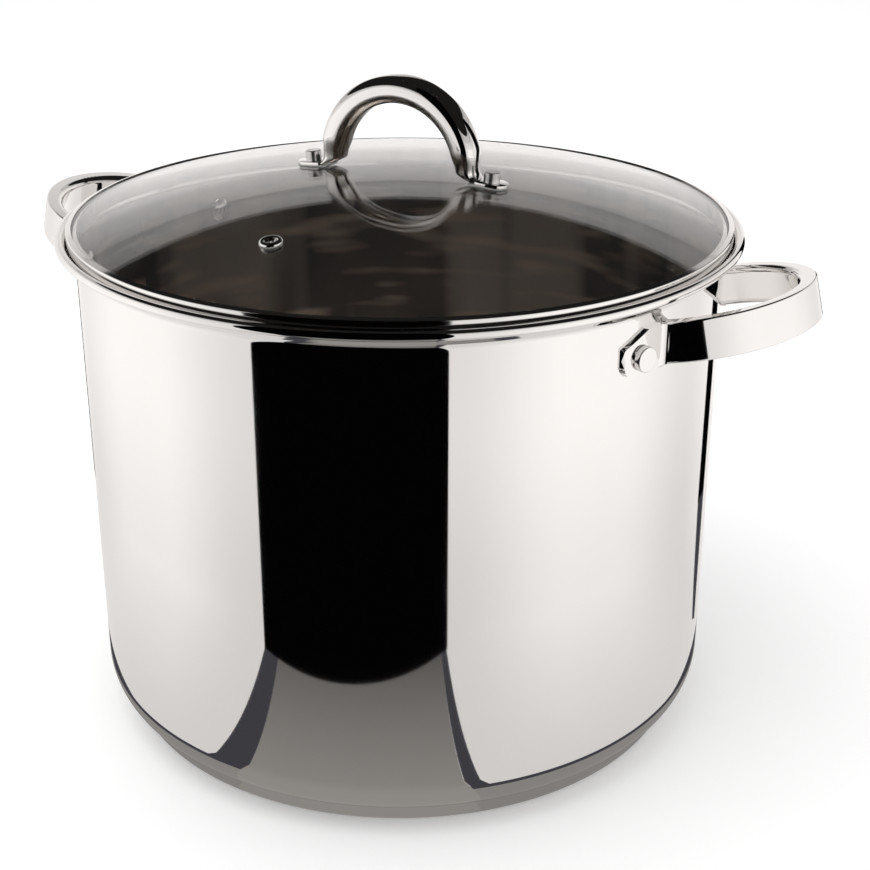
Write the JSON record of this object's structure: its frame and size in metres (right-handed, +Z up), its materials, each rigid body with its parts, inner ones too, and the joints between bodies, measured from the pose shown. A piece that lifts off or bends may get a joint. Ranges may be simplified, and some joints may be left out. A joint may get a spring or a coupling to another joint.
{
  "type": "stock pot",
  "caption": "Tall round steel cooking pot with a capsule base, rolled pouring lip, two riveted loop handles and a lift-off domed glass lid with a bow handle and steam vent.",
  "frame": {"origin": "centre of the base's flat underside, on the surface that the pot stands on", "axes": "+Z up along the pot's axis; X runs through the two side handles and the lid handle; the steam vent lies towards -Y"},
  "size_m": [0.3706, 0.2962, 0.285],
  "materials": {
    "mirror_steel": "mirror-polished stainless steel outside, finely brushed inside",
    "core_aluminium": "plain pressed aluminium",
    "base_steel": "polished edge, circular brushed underside",
    "handle_steel": "mirror-polished stainless steel",
    "rivet_steel": "polished",
    "lid_glass": "clear tempered glass",
    "band_steel": "bright rolled band",
    "eyelet_steel": "bright",
    "fastener_steel": "bright turned steel",
    "seal_silicone": "translucent grey silicone"
  },
  "bodies": {
    "pot": {"pot_shell": "mirror_steel", "base_core_disc": "core_aluminium", "base_cap": "base_steel", "side_handle_right": "handle_steel", "side_handle_left": "handle_steel", "rivet_right_front": "rivet_steel", "rivet_right_back": "rivet_steel", "rivet_left_front": "rivet_steel", "rivet_left_back": "rivet_steel"},
    "lid": {"lid_glass": "lid_glass", "lid_rim_band": "band_steel", "vent_eyelet": "eyelet_steel", "vent_seal": "seal_silicone", "lid_handle": "handle_steel", "cap_nut_right": "fastener_steel", "cap_nut_left": "fastener_steel", "lid_screw_right": "fastener_steel", "lid_screw_left": "fastener_steel", "steel_washer_right": "fastener_steel", "steel_washer_left": "fastener_steel", "soft_washer_right": "seal_silicone", "soft_washer_left": "seal_silicone", "handle_pad_right": "seal_silicone", "handle_pad_left": "seal_silicone"}
  },
  "joints": [
    {"name": "lid_lift", "type": "slide", "parent": "pot", "child": "lid", "axis": [0, 0, 1], "range_m": [0, 0.25]}
  ]
}
